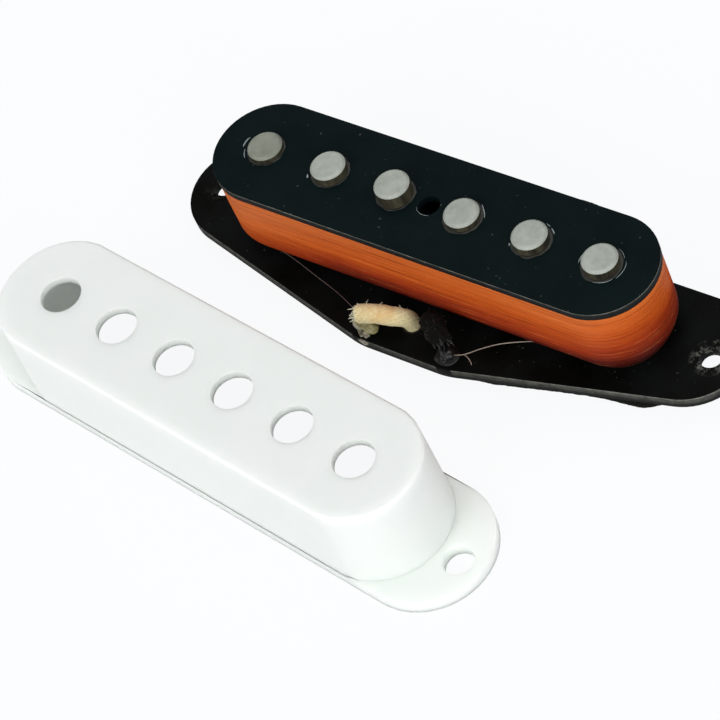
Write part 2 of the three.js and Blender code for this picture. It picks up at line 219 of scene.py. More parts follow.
def mottle(tree, shader, cloud, dark, light, roughness, spread):
    """Two colours and an uneven gloss that both follow one noise."""
    tree.links.new(ramp_of(tree, cloud, [(0.3, dark), (0.7, light)]), shader.inputs["Base Color"])
    uneven = calculate(tree, "MULTIPLY_ADD", cloud, spread, roughness - spread / 2)
    tree.links.new(uneven, shader.inputs["Roughness"])


def add_relief(tree, shader, height, depth_mm, strength):
    """Bumps on the surface, as deep as said where the height goes from 0 to 1."""
    inputs = {"Height": height, "Strength": strength, "Distance": depth_mm * mm}
    bump = add_node(tree, "ShaderNodeBump", inputs)
    tree.links.new(bump.outputs["Normal"], shader.inputs["Normal"])


print("helpers ready")

# %% [markdown]
# ## Vulcanised fibre: the faces
#
# The plates are punched from hard black paper board. The face is almost black with a fine grain, a few
# pale specks and hardly any gloss. Round the screw holes the screws have scuffed it to grey. The scuffs
# are noise that counts only near a hole, so they need the distance from the hole's middle.


# %% Fibre face material
scuff_inner = 1.9
scuff_outer = 2.9


def scuffs_round(tree, side):
    """Worn specks in a ring round a screw hole, from 0 to 1."""
    hole = at(side * screw_hole_reach, 0, 0)
    inputs = {"Vector": object_place(tree), "Location": (-hole.x, -hole.y, 0), "Scale": (1, 1, 0)}
    moved = add_node(tree, "ShaderNodeMapping", inputs)
    away = add_node(tree, "ShaderNodeVectorMath", {0: moved.outputs[0]}, operation="LENGTH").outputs["Value"]
    near = calculate(tree, "SUBTRACT", 1, between(tree, away, scuff_inner * mm, scuff_outer * mm))
    crumbs = between(tree, noise_of(tree, stretched_place(tree), 900, 5, 0.7), 0.5, 0.6)
    return calculate(tree, "MULTIPLY", near, crumbs)


def make_fibre_face(name, dark, light, scuffed):
    """Black board. Scuffed is a list of (side, strength), with side -1 for left and 1 for right."""
    material, tree, shader = new_material(name, 0.6, Specular_IOR_Level=0.05)
    place = stretched_place(tree)
    cloud = noise_of(tree, place, 150, 5)
    colour = ramp_of(tree, cloud, [(0.32, dark), (0.7, light)])
    specks = between(tree, noise_of(tree, place, 1700, 1), 0.74, 0.78)
    worn = calculate(tree, "MULTIPLY", specks, 0.16)
    for side, strength in scuffed:
        worn = calculate(tree, "MULTIPLY_ADD", scuffs_round(tree, side), strength, worn)
    tree.links.new(mix_colours(tree, worn, colour, shade(150, 150, 142)), shader.inputs["Base Color"])
    tree.links.new(calculate(tree, "MULTIPLY_ADD", cloud, 0.25, 0.46), shader.inputs["Roughness"])
    add_relief(tree, shader, noise_of(tree, place, 2600, 3), 0.03, 0.5)
    return material


top_fibre = make_fibre_face("top_fibre", shade(4, 15, 16), shade(11, 23, 24), [])
base_fibre = make_fibre_face("base_fibre", shade(3, 3, 1), shade(15, 17, 17), [(-1, 0.06), (1, 0.4)])
print("fibre faces:", top_fibre.name, base_fibre.name)

# %% [markdown]
# ## Vulcanised fibre: the edges
#
# The punch tears the paper's layers, so the edge is greyer than the face and streaky grey in the
# middle. Its colour also goes by height: the pale upper corner is partly worn fibre and partly a
# painted highlight, and the dark foot is painted shade. Each plate's edge reads its own height from
# the object coordinates, so the bands follow the plate all the way round.


# %% Fibre edge materials
def make_fibre_edge(name, bottom, top, stops):
    """A torn edge whose colours go by height, from bottom to top in millimetres: painted shade at the
    foot and, at the top, a pale corner that is partly worn fibre and partly a painted highlight.
    """
    material, tree, shader = new_material(name, 0.8, Specular_IOR_Level=0.2)
    share = between(tree, object_parts(tree)["Z"], bottom * mm, top * mm)
    layers = noise_of(tree, stretched_place(tree, (260, 260, 5200)), 1, 4)
    wavy = calculate(tree, "MULTIPLY_ADD", calculate(tree, "SUBTRACT", layers, 0.5), 0.3, share)
    scuffs = noise_of(tree, stretched_place(tree), 700, 6, 0.75)
    dulled = ramp_of(tree, scuffs, [(0.35, shade(120, 120, 120)), (0.65, shade(255, 255, 255))])
    colour = mix_colours(tree, 0.85, ramp_of(tree, wavy, stops), dulled, "MULTIPLY")
    tree.links.new(colour, shader.inputs["Base Color"])
    add_relief(tree, shader, layers, 0.06, 0.6)
    return material


# Streaky grey fibre by height: painted shade at 0, and at 1 a pale corner that is partly worn fibre and
# partly a painted highlight.
top_edge_wear_and_lighting = [
    (0.0, shade(8, 11, 11)),
    (0.6, shade(15, 20, 20)),
    (0.86, shade(48, 50, 47)),
    (1.0, shade(150, 150, 141)),
]
base_edge_wear_and_lighting = [
    (0.0, shade(10, 10, 8)),
    (0.3, shade(30, 31, 28)),
    (0.5, shade(72, 73, 67)),
    (0.8, shade(84, 85, 79)),
    (1.0, shade(136, 136, 128)),
]
top_edge = make_fibre_edge("top_plate_edge", top_plate_bottom, top_plate_top, top_edge_wear_and_lighting)
base_edge = make_fibre_edge("base_plate_edge", base_bottom, base_top, base_edge_wear_and_lighting)
print("fibre edges:", top_edge.name, base_edge.name)

# %% [markdown]
# ## Magnets, solder, brass and tinned wire
#
# Pickup magnets are cast rods. Their ground tops are a dull pale grey, and their sides are dark with
# wax and varnish. Solder is bright where it froze smooth and brown where flux burnt. Brass eyelets have
# gone a little brown. All share one recipe: two colours mixed by noise, and a fine relief.


# %% Metal materials
def make_metal(name, dark, light, roughness, metallic, relief_mm, cloud_scale=350, stretch=(1, 1, 1)):
    """Two colours mixed by noise, under a relief six times finer."""
    material, tree, shader = new_material(name, roughness, metallic)
    place = stretched_place(tree, stretch)
    mottle(tree, shader, noise_of(tree, place, cloud_scale, 5, 0.65), dark, light, roughness, 0.3)
    add_relief(tree, shader, noise_of(tree, place, cloud_scale * 6, 3), relief_mm, 0.6)
    return material


magnet_metal = make_metal("magnet_metal", shade(150, 155, 146), shade(176, 181, 172), 0.65, 0.2, 0.02, 600)
dull_magnet_metal = make_metal(
    "dull_magnet_metal", shade(122, 125, 112), shade(146, 149, 136), 0.7, 0.2, 0.02, 600
)
magnet_side = make_metal(
    "magnet_side", shade(26, 24, 18), shade(86, 82, 64), 0.45, 0.2, 0.03, 900, (1, 1, 0.2)
)
solder_metal = make_metal("solder_metal", shade(84, 70, 50), shade(176, 170, 152), 0.32, 0.7, 0.05, 900)
sooty_solder = make_metal("sooty_solder", shade(6, 6, 6), shade(40, 42, 42), 0.32, 0.2, 0.06, 900)
eyelet_brass = make_metal("eyelet_brass", shade(96, 72, 36), shade(170, 140, 84), 0.4, 0.85, 0.02, 500)
tinned_metal = make_metal("tinned_metal", shade(140, 138, 130), shade(205, 203, 196), 0.38, 0.9, 0.02, 500)
print("metals:", magnet_metal.name, magnet_side.name, solder_metal.name, eyelet_brass.name)

# %% [markdown]
# ## Enamelled copper
#
# The coil has thousands of turns of wire thinner than a hair, under a clear orange-brown enamel. From
# arm's length it looks like silk: fine, nearly level streaks. The colour is painted shade by height:
# orange near the top and dark red towards the foot, where the side turns under and the black plate
# takes its light. The streaks are noise that is stretched a long way round the coil and squeezed in
# height, and they wander a little; the brightest are mixed towards pale orange, a painted highlight.
# The left end gets painted light, so it is paler than the middle, and the right end a little painted
# shade, so the ends shift the height of that painted shading.


# %% Wire materials
def make_coil_wire():
    material, tree, shader = new_material("coil_wire", 0.45, Specular_IOR_Level=0.08)
    parts = object_parts(tree)
    rise = between(tree, parts["Z"], base_top * mm, top_plate_bottom * mm)
    to_right = calculate(tree, "SUBTRACT", parts["X"], at(0, 0, 0).x)
    to_left = calculate(tree, "MULTIPLY", to_right, -1)
    # The ends shift the painted shading: painted light at the left end, a little painted shade at the right.
    left_end_painted_light = between(tree, to_left, 12 * mm, 29 * mm)
    right_end_painted_shade = between(tree, to_right, 24 * mm, 34 * mm)
    wander = noise_of(tree, stretched_place(tree, (35, 35, 120)), 1, 1)
    lift = add_node(tree, "ShaderNodeCombineXYZ", {"Z": calculate(tree, "MULTIPLY", wander, 3.5)}).outputs[0]
    streak_inputs = {0: stretched_place(tree, (55, 55, 4200)), 1: lift}
    streak_place = add_node(tree, "ShaderNodeVectorMath", streak_inputs, operation="ADD").outputs[0]
    streaks = noise_of(tree, streak_place, 1, 5, 0.75)
    broad = noise_of(tree, stretched_place(tree, (40, 40, 300)), 1, 3, 0.5)
    height = calculate(tree, "MULTIPLY_ADD", calculate(tree, "SUBTRACT", broad, 0.5), 0.45, rise)
    height = calculate(tree, "MULTIPLY_ADD", left_end_painted_light, 0.34, height)
    height = calculate(tree, "MULTIPLY_ADD", right_end_painted_shade, -0.05, height)
    # Painted shade and light: these colours go by height, dark red at the foot, where the side turns under,
    # and orange at the top.
    stops = [
        (0.0, shade(48, 5, 1)),
        (0.2, shade(82, 15, 3)),
        (0.42, shade(150, 48, 11)),
        (0.65, shade(192, 84, 23)),
        (1.0, shade(206, 106, 44)),
    ]
    dark_lines = ramp_of(tree, streaks, [(0.3, shade(140, 100, 84)), (0.5, shade(255, 255, 255))])
    colour = mix_colours(tree, 0.7, ramp_of(tree, height, stops), dark_lines, "MULTIPLY")
    # Painted highlight: the brightest streaks are mixed towards pale orange.
    painted_glints = calculate(tree, "MULTIPLY", between(tree, streaks, 0.58, 0.72), 0.45)
    tree.links.new(mix_colours(tree, painted_glints, colour, shade(242, 158, 88)), shader.inputs["Base Color"])
    add_relief(tree, shader, streaks, 0.04, 0.5)
    return material


coil_wire = make_coil_wire()
start_wire_metal = make_metal("start_wire_metal", shade(92, 78, 74), shade(128, 110, 104), 0.5, 0.3, 0.01)
finish_wire_metal = make_metal(
    "finish_wire_metal", shade(140, 124, 112), shade(178, 164, 152), 0.45, 0.3, 0.01
)
print("wire:", coil_wire.name, start_wire_metal.name, finish_wire_metal.name)

# %% [markdown]
# ## Woven cloth
#
# The leads are covered in braided cotton, waxed and a little fuzzy. The braid itself is made in the
# mesh further down, which also stores how high each point of the braid stands. The material reads that
# stored height and paints shade into the hollows between the yarns and light onto their crowns. On
# the cream lead the top of the arch by the eyelet also gets a painted orange reflection of the coil.


# %% Cloth materials
def make_cloth(name, hollow_in_painted_shade, crown_in_painted_light, stain_and_reflection, sheen, **fixed):
    """Braided cotton in three colours: hollows in painted shade, crowns in painted light, and a patch on
    the arch by the eyelet.
    """
    material, tree, shader = new_material(name, 0.85, Sheen_Weight=sheen, Sheen_Roughness=0.5, **fixed)
    braid = add_node(tree, "ShaderNodeAttribute", attribute_name="braid").outputs["Fac"]
    fibres = noise_of(tree, stretched_place(tree), 3200, 5, 0.7)
    height = calculate(tree, "MULTIPLY_ADD", braid, 0.35, calculate(tree, "MULTIPLY", fibres, 0.8))
    cloth = ramp_of(tree, height, [(0.3, hollow_in_painted_shade), (0.8, crown_in_painted_light)])
    # On the cream lead this patch is a painted reflection of the orange coil; on the black lead it is a
    # darker stain.
    stain_and_reflection_share = between(tree, noise_of(tree, stretched_place(tree), 420, 3), 0.4, 0.65)
    stain_and_reflection_share = calculate(tree, "MULTIPLY", stain_and_reflection_share, between(tree, object_parts(tree)["Z"], 6.6 * mm, 8.8 * mm))
    colour = mix_colours(tree, calculate(tree, "MULTIPLY", stain_and_reflection_share, 0.75), cloth, stain_and_reflection)
    tree.links.new(colour, shader.inputs["Base Color"])
    add_relief(tree, shader, height, 0.1, 0.7)
    return material


# Each set: hollow in painted shade, crown in painted light, then the patch on the arch.
cream_colours = shade(212, 192, 140), shade(240, 230, 184), shade(216, 170, 108)
black_colours = shade(1, 1, 1), shade(18, 18, 16), shade(8, 8, 8)
cream_cloth = make_cloth("cream_cloth", *cream_colours, 0.1, Specular_IOR_Level=0.15)
black_cloth = make_cloth("black_cloth", *black_colours, 0.0, Specular_IOR_Level=0.1)
print("cloth:", cream_cloth.name, black_cloth.name)

# %% [markdown]
# ## Wax, flux and moulded plastic
#
# A pickup is dipped in wax, which dries to dark shiny rings and pale crumbs. Flux from soldering sets
# to a cloudy grey-green glass. The cover is moulded plastic: off-white, a little green, softly glossy
# and milky, so some light goes through its thin wall and brightens its inside. Subsurface scattering
# does that here.


# %% Wax, flux and plastic materials
def make_soft_solid(name, dark, light, roughness, cloud_scale, relief_mm, **fixed):
    """Two near colours mixed by noise, with a gloss that is a little uneven."""
    material, tree, shader = new_material(name, roughness, 0.0, **fixed)
    place = stretched_place(tree)
    mottle(tree, shader, noise_of(tree, place, cloud_scale, 3), dark, light, roughness, 0.16)
    add_relief(tree, shader, noise_of(tree, place, 2200, 4), relief_mm, 0.5)
    return material


# Real wax on the magnets, and also painted shade in the coil's bore and in the lead holes.
dark_wax_and_shade = make_soft_solid("dark_wax_and_shade", shade(6, 9, 8), shade(40, 38, 28), 0.4, 900, 0.04)
pale_wax = make_soft_solid("pale_wax", shade(118, 128, 130), shade(178, 186, 186), 0.4, 1500, 0.03)
white_cotton = make_soft_solid("white_cotton", shade(186, 180, 156), shade(226, 222, 202), 0.9, 1500, 0.02)
black_cotton = make_soft_solid("black_cotton", shade(10, 10, 10), shade(52, 52, 52), 0.7, 1500, 0.02)
flux = make_soft_solid(
    "flux", shade(92, 86, 50), shade(176, 168, 122), 0.22, 600, 0.04, Specular_IOR_Level=0.6
)
cover_plastic = make_soft_solid(
    "cover_plastic",
    shade(241, 250, 241),
    shade(245, 253, 244),
    roughness=0.5,
    cloud_scale=60,
    relief_mm=0.004,
    Subsurface_Weight=0.75,
    Subsurface_Radius=(1, 1, 0.95),
    Subsurface_Scale=0.0028,
    Specular_IOR_Level=0.12,
)
print("soft solids:", dark_wax_and_shade.name, pale_wax.name, flux.name, cover_plastic.name)

# %% [markdown]
# ## Small helpers for pieces
#
# Every piece becomes an object at the origin whose place is in its mesh, smooth where its faces meet
# gently and sharp where they meet hard. Weighted normals keep big flat faces looking flat beside
# narrow bevels.


# %% Piece helpers
def add_piece(name, bm, materials, sharp_degrees=40, body="pickup"):
    """Makes an object from a bmesh, lets it ride on a body and gives it materials."""
    mesh = bpy.data.meshes.new(name)
    bm.to_mesh(mesh)
    bm.free()
    if "custom_normal" in mesh.attributes:
        mesh.attributes.remove(mesh.attributes["custom_normal"])
    for material in materials:
        mesh.materials.append(material)
    mesh.shade_smooth()
    mesh.set_sharp_from_angle(angle=math.radians(sharp_degrees))
    piece = placed(name, mesh)
    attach(piece, body)
    return piece


def keep_flats_flat(piece):
    """Normals that follow the large faces, so that a bevel looks rounded and a plate stays flat."""
    weighted = piece.modifiers.new("weighted_normals", "WEIGHTED_NORMAL")
    weighted.keep_sharp = True


def joined_copy(node):
    """The CAD node's mesh as a bmesh, with its loose triangles joined into whole faces."""
    bm = bmesh.new()
    bm.from_mesh(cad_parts[node].data)
    for face in bm.faces:
        face.material_index = 0
    bmesh.ops.remove_doubles(bm, verts=bm.verts, dist=0.002 * mm)
    bmesh.ops.dissolve_limit(bm, angle_limit=math.radians(0.5), verts=bm.verts, edges=bm.edges)
    return bm


def gathered(parts):
    """Several bmeshes as one."""
    whole = bmesh.new()
    for part in parts:
        mesh = bpy.data.meshes.new("part")
        part.to_mesh(mesh)
        part.free()
        whole.from_mesh(mesh)
        bpy.data.meshes.remove(mesh)
    return whole


def soften_edges(bm, width_mm, least_degrees=35, above_mm=-1):
    """Rounds every edge above a height where two faces meet more sharply than that."""
    least = math.radians(least_degrees)
    shared = [edge for edge in bm.edges if edge.is_manifold]
    high = [edge for edge in shared if min(end.co.z for end in edge.verts) > above_mm * mm]
    sharp = [edge for edge in high if edge.calc_face_angle(0) > least]
    bmesh.ops.bevel(
        bm,
        geom=sharp,
        offset=width_mm * mm,
        segments=2,
        profile=0.5,
        affect="EDGES",
        material=-1,
        clamp_overlap=True,
    )
    return len(sharp)


def spun(profile, steps):
    """A ring from a closed outline of (distance, height) in millimetres, turned round the upright axis."""
    bm = bmesh.new()
    corners = [bm.verts.new((away * mm, 0, height * mm)) for away, height in profile]
    sides = [bm.edges.new(pair) for pair in zip(corners, corners[1:] + corners[:1])]
    whole = {"cent": (0, 0, 0), "axis": (0, 0, 1), "angle": 2 * math.pi}
    bmesh.ops.spin(bm, geom=corners + sides, steps=steps, use_merge=True, use_duplicate=False, **whole)
    bmesh.ops.recalc_face_normals(bm, faces=bm.faces)
    return bm


def make_lumpy(bm, depth_mm, blotches_per_mm, seed):
    """Moves each point in or out along its normal by smooth noise."""
    bm.normal_update()
    for vert in bm.verts:
        spot = vert.co / mm * blotches_per_mm + Vector((seed, seed, seed))
        vert.co += vert.normal * noise.noise(spot) * depth_mm * mm


print("piece helpers ready")

# %% [markdown]
# ## Helpers for lines
#
# Wire, yarn and leads are all lines with a thickness. A smooth line is drawn through a few chosen
# points, and a curve with a round bevel turns it into a closed tube.


# %% Line helpers
def smooth_line(points, step_mm):
    """A smooth line through the points. Each span weighs its distance, so tight corners don't overshoot."""
    padded = [2 * points[0] - points[1], *points, 2 * points[-1] - points[-2]]
    line = []
    for a, b, c, d in zip(padded, padded[1:], padded[2:], padded[3:]):
        before, here, after = (math.sqrt((q - p).length) for p, q in ((a, b), (b, c), (c, d)))
        leave = ((b - a) / before - (c - a) / (before + here) + (c - b) / here) * here
        arrive = ((c - b) / here - (d - b) / (here + after) + (d - c) / after) * here
        steps = max(2, round((c - b).length / (step_mm * mm)))
        line += interpolate_bezier(b, b + leave / 3, c - arrive / 3, c, steps + 1)[:-1]
    return line + [points[-1]]


def square_to(ahead):
    """The two directions square to the one ahead: a level one and an upward one."""
    aside = ahead.cross(Vector((0, 0, 1))).normalized()
    return aside, aside.cross(ahead).normalized()


def line_length(line):
    """The length of a line in metres."""
    return sum((second - first).length for first, second in zip(line, line[1:]))


def raw_tube(points, radius_mm, sides, thickness):
    """A tube along the points. Blender gives the last ring, the first ring, then every ring in order."""
    curve = bpy.data.curves.new("line", "CURVE")
    curve.dimensions = "3D"
    curve.bevel_depth = radius_mm * mm
    curve.bevel_resolution = sides // 2 - 2
    curve.use_fill_caps = True
    spline = curve.splines.new("POLY")
    spline.points.add(len(points) - 1)
    for index, (knot, point) in enumerate(zip(spline.points, points)):
        knot.co = (*point, 1)
        knot.radius = thickness[index] if thickness else 1
    holder = placed("line", curve)
    bpy.context.view_layer.update()
    mesh = bpy.data.meshes.new_from_object(holder.evaluated_get(bpy.context.evaluated_depsgraph_get()))
    bpy.data.objects.remove(holder)
    bpy.data.curves.remove(curve)
    bm = bmesh.new()
    bm.from_mesh(mesh)
    bpy.data.meshes.remove(mesh)
    bm.verts.ensure_lookup_table()
    return bm


def closed_tube(points, radius_mm, sides, thickness=None):
    """A tube whose end faces are joined to its side."""
    bm = raw_tube(points, radius_mm, sides, thickness)
    bmesh.ops.remove_doubles(bm, verts=bm.verts, dist=0.0005 * mm)
    return bm


print("line helpers ready")

# %% [markdown]
# ## Plates
#
# The plates keep the imported part's outline and holes. A real punched plate has no knife edge, so a
# copy of each is joined into whole faces and its edges are rounded by less than a tenth of a
# millimetre. That thin line of light along the edge is what makes it look like a thing one can hold.
# The outer edge gets the torn grey material. The walls of the holes take the dark face material instead,
# which paints the shade inside the holes.


# %% Top and base plate
screw_holes = [(-screw_hole_reach, 0), (screw_hole_reach, 0)]
eyelet_holes = [(-6.25, -12.2), (6.25, -12.2)]
lead_holes = [(-0.85, -9.7), (2.65, -9.7)]
hole_wall_reach = 2.4


def make_plate(node, face_material, edge_material, holes):
    """A plate with soft edges. Walls that lie close to a hole's middle take the dark face material, a
    painted shade inside the holes.
    """
    bm = joined_copy(node)
    rounded = soften_edges(bm, 0.08)
    bm.normal_update()
    for face in bm.faces:
        middle = face.calc_center_median()
        # Painted shade: hole walls take the dark face material, not the grey edge material.
        in_hole = any((middle - at(x, y, 0)).xy.length < hole_wall_reach * mm for x, y in holes)
        face.material_index = 0 if in_hole or abs(face.normal.z) > 0.9 else 1
    piece = add_piece(f"{node}_board", bm, [face_material, edge_material], 50)
    keep_flats_flat(piece)
    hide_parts(node)
    print(node, "rounded edges", rounded, "faces", len(piece.data.polygons))


make_plate("top_plate", top_fibre, top_edge, [(0, 0)])
make_plate("base_plate", base_fibre, base_edge, screw_holes + eyelet_holes + lead_holes)

# %% [markdown]
# ## Magnets
#
# Six rods, each with a small ground chamfer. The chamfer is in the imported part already, so a copy with
# its edges just broken is enough. Tops and chamfers are pale, sides are dark.

# %% Magnets
for number in range(1, pole_count + 1):
    rod = joined_copy(f"magnet_{number}")
    soften_edges(rod, 0.09)
    rod.normal_update()
    for face in rod.faces:
        face.material_index = 0 if abs(face.normal.z) > 0.4 else 1
    face_metal = dull_magnet_metal if number == 1 else magnet_metal
    magnet = add_piece(f"magnet_rod_{number}", rod, [face_metal, magnet_side])
    keep_flats_flat(magnet)
    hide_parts(f"magnet_{number}")
print("magnets", pole_count)

# %% [markdown]
# ## Wax rings and flecks
#
# Where a magnet comes out of the plate the wax dip leaves a thin dark bead. Each bead is a small
# profile spun round the magnet, then pushed up and down by noise, so that in places it sinks into the
# plate and is gone. Chipped wax shows as short pale arcs, each a thin line round its magnet.


# %% Wax round the magnets
def make_wax_ring(number, width_mm, height_mm):
    """A bead of dark wax round a magnet, its foot a little inside the magnet and the plate."""
    inner = magnet_radius - 0.1
    bead = ((0, -0.1), (0, height_mm * 1.6), (0.35, height_mm), (0.7, height_mm * 0.7), (1, -0.1))
    bm = spun([(inner + share * width_mm, rise) for share, rise in bead], 72)
    for vert in bm.verts:
        spot = Vector((vert.co.x, vert.co.y, 0)).normalized() + Vector((0, 0, number * 7.3))
        vert.co.z += noise.noise(spot * 2.1) * 0.07 * mm
        if vert.co.xy.length > magnet_radius * mm:
            vert.co.xy = vert.co.xy * (1 + noise.noise(spot * 3.7) * 0.05)
    bmesh.ops.translate(bm, verts=bm.verts, vec=at(pole_x(number), 0, top_plate_top))
    add_piece(f"wax_ring_{number}", bm, [dark_wax_and_shade])


def wax_arc(middle_x, from_degrees, to_degrees, distance, radius_mm):
    """A thin arc of chipped wax round a middle, thinner towards both ends."""
    degrees_a_step = 6
    steps = max(3, round(abs(to_degrees - from_degrees) / degrees_a_step))
    points = []
    for step in range(steps + 1):
        angle = math.radians(from_degrees + (to_degrees - from_degrees) * step / steps)
        away = distance + 0.12 * noise.noise(Vector((angle * 2.0, distance, middle_x)))
        points.append(at(middle_x + away * math.cos(angle), away * math.sin(angle), top_plate_top + 0.02))
    taper = [0.35 + 0.65 * math.sin(math.pi * (step + 0.5) / (steps + 1)) for step in range(steps + 1)]
    return closed_tube(points, radius_mm, 6, taper)


for number in range(1, pole_count + 1):
    make_wax_ring(number, 0.35 + 0.04 * number, 0.05)
# Each chip is (magnet, first angle, last angle, distance from the magnet's middle, thickness).
chips = [
    (1, 164, 192, 3.42, 0.1),
    (1, 198, 226, 3.02, 0.08),
    (2, -151, -141, 3.1, 0.11),
    (4, 18, 63, 2.82, 0.07),
    (5, 40, 60, 2.95, 0.09),
    (5, 66, 80, 3.02, 0.06),
    (5, -151, -143, 2.86, 0.08),
    (6, 166, 196, 3.05, 0.09),
    (6, -84, -30, 2.75, 0.04),
    (6, -24, 30, 3.05, 0.04),
    (6, 40, 74, 2.95, 0.035),
]
arcs = [wax_arc(pole_x(number), *chip) for number, *chip in chips]
arcs.append(wax_arc(0, -150, -60, 1.62, 0.025))
print("wax rings", pole_count, "chips", len(arcs))
add_piece("wax_chips", gathered(arcs), [pale_wax])

# %% [markdown]
# ## Coil: its shape
#
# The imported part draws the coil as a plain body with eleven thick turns, and its side draws in towards
# the foot. Here one unbroken line runs round the body some eighty times. Hand-wound turns never lie
# quite level, so the line wanders a little, the same way each time. A few stray turns cross the others.


# %% Coil turns
foot_taper = 1.5
taper_height = 3.2
coil_inset = 0.06
level_turn_count = 78
straight_stops = 5
arc_stops = 24
greatest_sway = 0.04


def coil_side(height):
    """The outer radius of the coil's round ends at a height."""
    share = min(max((height - base_top) / taper_height, 0), 1)
    return plate_radius - coil_inset - foot_taper * (1 - share) ** 1.25


def round_coil_point(share, radius):
    """The point that share of the way round a round-ended strip, from the middle of its front side."""
    half_way = 2 * plate_reach + math.pi * radius
    distance = share % 1 * 2 * half_way
    turned = -1 if distance >= half_way else 1
    left = distance % half_way
    if left < plate_reach:
        spot = Vector((left, -radius, 0))
    elif left < half_way - plate_reach:
        angle = (left - plate_reach) / radius - math.pi / 2
        spot = Vector((plate_reach + radius * math.cos(angle), radius * math.sin(angle), 0))
    else:
        spot = Vector((half_way - left, radius, 0))
    return spot * turned


end_arc = math.pi * plate_radius
half_turn = 2 * plate_reach + end_arc
half_stops = [plate_reach * step / straight_stops for step in range(straight_stops)]
half_stops += [plate_reach + end_arc * step / arc_stops for step in range(arc_stops)]
half_stops += [plate_reach + end_arc + plate_reach * step / straight_stops for step in range(straight_stops)]
turn_stops = [(stop + side * half_turn) / (2 * half_turn) for side in (0, 1) for stop in half_stops]


def winding(turns, wire_radius, foot, top, seed, wander_mm=0.05):
    """A line that climbs from foot to top in that many turns."""
    points = []
    for turn in (whole + stop for whole in range(turns) for stop in turn_stops):
        height = foot + (top - foot) * turn / turns
        height += wander_mm * noise.noise(Vector((turn * 2.3, seed, 0.0)))
        height = min(max(height, base_top + wire_radius), top_plate_bottom - wire_radius)
        sway = greatest_sway * noise.noise(Vector((turn * 0.9, seed + 5, 0.0)))
        spot = round_coil_point(turn, coil_side(height) - wire_radius + min(sway, 0))
        points.append(at(spot.x, spot.y, height))
    return closed_tube(points, wire_radius, 6)


level_turns = winding(level_turn_count, 0.09, base_top + 0.1, top_plate_bottom - 0.1, 4.0)
stray_turns = [
    winding(9, 0.06, top_plate_bottom - 0.2, base_top + 2.2, 11.0, 0.5),
    winding(6, 0.05, base_top + 1.2, top_plate_bottom - 1.5, 23.0, 0.7),
]
all_turns = gathered([level_turns, *stray_turns])
coil_turns = add_piece("coil_turns", all_turns, [coil_wire])
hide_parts("coil_outer_turns")
print("level turns", level_turn_count, "faces", len(coil_turns.data.polygons))

# %% [markdown]
# ## Coil: the body behind the turns
#
# The imported body already has the bore that the magnets stand in. A copy is cut into level slices, and
# its outer side is moved out until it lies just behind the turns. The bore's wall gets the dark wax
# material, a painted shade, so that the small hole in the middle of the top plate looks down into
# blackness.

# %% Coil body
slice_heights = (4.8, 5.4, 6.0, 6.7)
outer_side_from = 4
behind_turns = 0.2
bore_half_width = 3
bore_half_length = 29
body = joined_copy("coil_core")
for height in slice_heights:
    everything = [*body.verts, *body.edges, *body.faces]
    bmesh.ops.bisect_plane(body, geom=everything, plane_co=at(0, 0, height), plane_no=(0, 0, 1))
for vert in body.verts:
    spot = vert.co / mm - pickup_middle
    middle = Vector((min(max(spot.x, -plate_reach), plate_reach), 0, spot.z))
    outward = spot - middle
    if outward.length > outer_side_from:
        spot = middle + outward.normalized() * (coil_side(spot.z) - behind_turns)
        vert.co = at(*spot)
# Painted shade: the bore's wall takes the dark wax material, so the centre hole looks black.
for face in body.faces:
    spot = face.calc_center_median() / mm - pickup_middle
    in_bore = abs(spot.y) < bore_half_width and abs(spot.x) < bore_half_length
    face.material_index = 1 if in_bore and abs(face.normal.z) < 0.5 else 0
coil_body = add_piece("coil_body", body, [coil_wire, dark_wax_and_shade])
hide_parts("coil_core")
print("coil body faces", len(coil_body.data.polygons))

# %% [markdown]
# ## Leads: their routes
#
# Each lead leaves its eyelet in a low arch, dives through its hole in the base plate and lies coiled
# flat under the pickup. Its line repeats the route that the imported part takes, as one smooth curve,
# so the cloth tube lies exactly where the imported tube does.

# %% Routes of the two leads
loop_steps = 24
fray_steps = 5
line_step = 0.25
white_lead = {
    "coil_middle": (-18.5, 3.8),
    "start_degrees": -62,
    "way": -1,
    "turns": 2.25,
    "route": [
        (-7.7, -12.7, 6.7), (-6.0, -12.3, 7.35), (-4.0, -11.8, 7.6), (-2.3, -11.2, 7.2),
        (-1.25, -10.4, 6.3), (-0.87, -9.8, 5.1), (-0.85, -9.7, 3.5), (-1.05, -9.4, 1.95),
        (-2.3, -8.3, 1.2), (-4.6, -7.3, 1.15), (-8.7, -6.9, 1.15),
    ],
}
black_lead = {
    "coil_middle": (8.8, 2.9),
    "start_degrees": 20,
    "way": 1,
    "turns": 2,
    "route": [
        (7.3, -13.1, 6.8), (6.7, -12.4, 7.6), (5.4, -11.5, 8.2), (4.1, -10.6, 8.0),
        (3.1, -9.95, 7.0), (2.7, -9.72, 5.4), (2.65, -9.7, 3.5), (2.85, -10.0, 1.95),
        (4.3, -11.0, 1.2), (6.4, -11.4, 1.15), (8.8, -11.45, 1.15), (11.5, -11.15, 1.15),
        (14.3, -10.5, 1.15), (17.5, -9.7, 1.15), (22, -8.6, 1.15), (26, -7.75, 1.15),
        (29.5, -7.35, 1.15), (32.2, -6.8, 1.15), (34.3, -5.0, 1.15), (35, -2.4, 1.15),
        (34.1, 0.2, 1.15), (32, 2.2, 1.15), (29, 3.2, 1.15), (26, 3.9, 1.15),
        (23.5, 5.2, 1.12),
    ],
}


def lead_coil_point(lead, turn):
    """A point of the flat spiral on the floor, which winds inwards."""
    angle = math.radians(lead["start_degrees"]) + lead["way"] * turn * 2 * math.pi
    radius = lead_coil_radius - turn * lead_coil_pitch
    x, y = lead["coil_middle"]
    return at(x + radius * math.cos(angle), y + radius * math.sin(angle), lead_diameter / 2)


